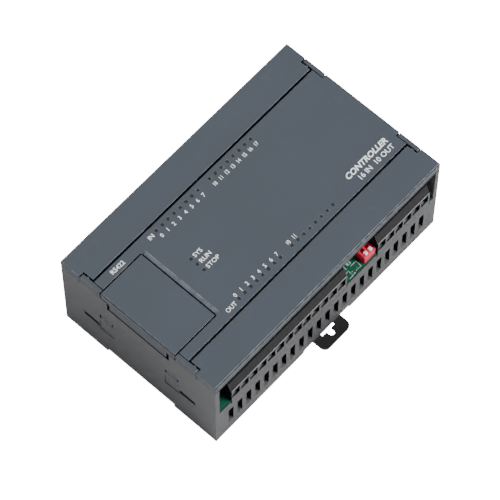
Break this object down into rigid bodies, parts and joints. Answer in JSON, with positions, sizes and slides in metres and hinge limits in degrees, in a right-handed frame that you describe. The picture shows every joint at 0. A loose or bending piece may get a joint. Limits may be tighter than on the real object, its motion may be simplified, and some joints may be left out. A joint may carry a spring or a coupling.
{
  "type": "plc module",
  "caption": "Compact rail-mounted programmable controller with hinged terminal doors, port flap, screw terminal blocks, vented side walls and a pull-out rail clip.",
  "frame": {"origin": "middle of the bottom of the whole box, clip tongue included, on the plane of the rail feet", "axes": "+X along the rail from the port flap, +Y across the rail from the output side to the input side, +Z out of the front face"},
  "size_m": [0.129, 0.0864, 0.0496],
  "materials": {
    "housing_plastic": "fine matte moulded grey",
    "cover_plastic": "fine matte moulded slate grey",
    "clip_plastic": "satin black",
    "terminal_plastic": "satin grey",
    "circuit_board": "green solder mask",
    "spacer_brass": "turned",
    "screw_steel": "zinc plated",
    "clamp_metal": "tin plated",
    "contact_gold": "gold flash",
    "component_plastic": "moulded black",
    "switch_red": "satin red",
    "lever_white": "satin white",
    "port_metal": "plated",
    "light_pipe": "smoked clear",
    "led_package": "white package",
    "capacitor_can": "drawn can"
  },
  "bodies": {
    "housing": {"base_housing": "housing_plastic", "centre_cover": "cover_plastic", "main_board": "circuit_board", "front_board": "circuit_board", "board_spacers": "spacer_brass", "board_screws": "screw_steel", "board_link_socket": "component_plastic", "board_link_header": "contact_gold", "output_block_long": "terminal_plastic", "output_block_short": "terminal_plastic", "input_block_left": "terminal_plastic", "input_block_right": "terminal_plastic", "output_terminal_screws": "screw_steel", "input_terminal_screws": "screw_steel", "output_wire_clamps": "clamp_metal", "input_wire_clamps": "clamp_metal", "dip_switch_body": "switch_red", "mode_switch_body": "port_metal", "port_body": "component_plastic", "port_shell": "port_metal", "port_contacts": "contact_gold", "input_light_pipes": "light_pipe", "output_light_pipes": "light_pipe", "status_light_pipes": "light_pipe", "indicator_leds": "led_package", "power_capacitors": "capacitor_can", "power_inductor": "component_plastic", "input_optocouplers": "component_plastic", "output_transistors": "component_plastic", "processor_chip": "component_plastic", "clock_crystal": "capacitor_can"},
    "output_door": {"output_door": "cover_plastic"},
    "input_door": {"input_door": "cover_plastic"},
    "port_flap": {"port_flap": "cover_plastic"},
    "rail_clip": {"rail_clip": "clip_plastic"},
    "dip_lever_1": {"dip_lever_1": "lever_white"},
    "dip_lever_2": {"dip_lever_2": "lever_white"},
    "mode_switch_lever": {"mode_switch_lever": "component_plastic"}
  },
  "joints": [
    {"name": "output_door_hinge", "type": "hinge", "parent": "housing", "child": "output_door", "pos_m": [0, -0.02435, 0.0482], "axis": [-1, 0, 0], "range_deg": [0, 110]},
    {"name": "input_door_hinge", "type": "hinge", "parent": "housing", "child": "input_door", "pos_m": [0, 0.03065, 0.0482], "axis": [1, 0, 0], "range_deg": [0, 110]},
    {"name": "port_flap_hinge", "type": "hinge", "parent": "housing", "child": "port_flap", "pos_m": [-0.0632, 0.00315, 0.043], "axis": [0, -1, 0], "range_deg": [0, 100]},
    {"name": "rail_clip_slide", "type": "slide", "parent": "housing", "child": "rail_clip", "axis": [0, -1, 0], "range_m": [0, 0.0035], "stiffness_N_per_m": 900},
    {"name": "dip_lever_1_slide", "type": "slide", "parent": "housing", "child": "dip_lever_1", "axis": [0, 1, 0], "range_m": [0, 0.002]},
    {"name": "dip_lever_2_slide", "type": "slide", "parent": "housing", "child": "dip_lever_2", "axis": [0, 1, 0], "range_m": [0, 0.002]},
    {"name": "mode_switch_slide", "type": "slide", "parent": "housing", "child": "mode_switch_lever", "axis": [0, 1, 0], "range_m": [0, 0.002]}
  ]
}
